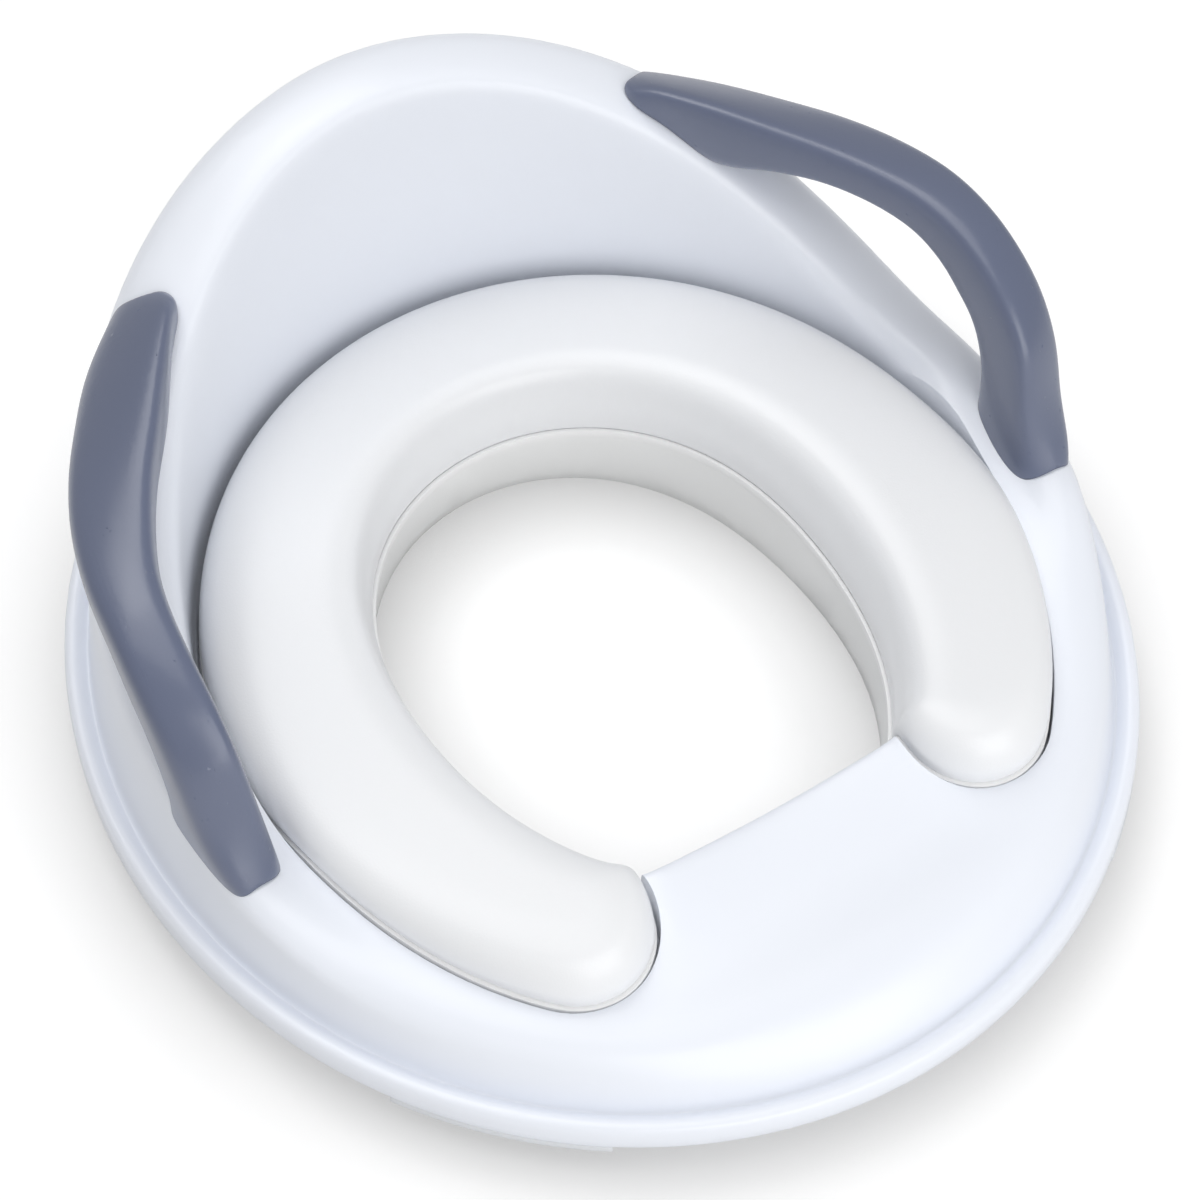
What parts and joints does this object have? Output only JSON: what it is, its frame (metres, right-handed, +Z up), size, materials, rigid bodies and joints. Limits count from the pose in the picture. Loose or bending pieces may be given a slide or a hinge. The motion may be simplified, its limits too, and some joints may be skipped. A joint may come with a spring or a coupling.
{
  "type": "potty training seat",
  "caption": "Toddler toilet training seat with a raised backrest, padded horseshoe cushion, front splash guard and arm handles on both sides.",
  "frame": {"origin": "middle of the seat's length and width, on the surface that the collar's lower edge stands on", "axes": "+X to the right when the seat is seen from the front, +Y towards the backrest, +Z up"},
  "size_m": [0.3372, 0.364, 0.1486],
  "materials": {
    "shell_plastic": "smooth, cool white, satin to glossy polypropylene",
    "cushion_skin": "smooth skin of self-skinning foam, warm white, soft satin",
    "tray_plastic": "plain white moulded plastic",
    "handle_plastic": "fine satin, blue-grey",
    "strip_rubber": "matt, pale soft elastomer",
    "screw_steel": "zinc plated"
  },
  "bodies": {
    "root": {"shell": "shell_plastic", "cushion": "cushion_skin", "cushion_tray": "tray_plastic", "left_handle": "handle_plastic", "right_handle": "handle_plastic", "handle_screws": "screw_steel", "front_left_strip": "strip_rubber", "front_right_strip": "strip_rubber", "rear_left_strip": "strip_rubber", "rear_right_strip": "strip_rubber"}
  },
  "joints": []
}
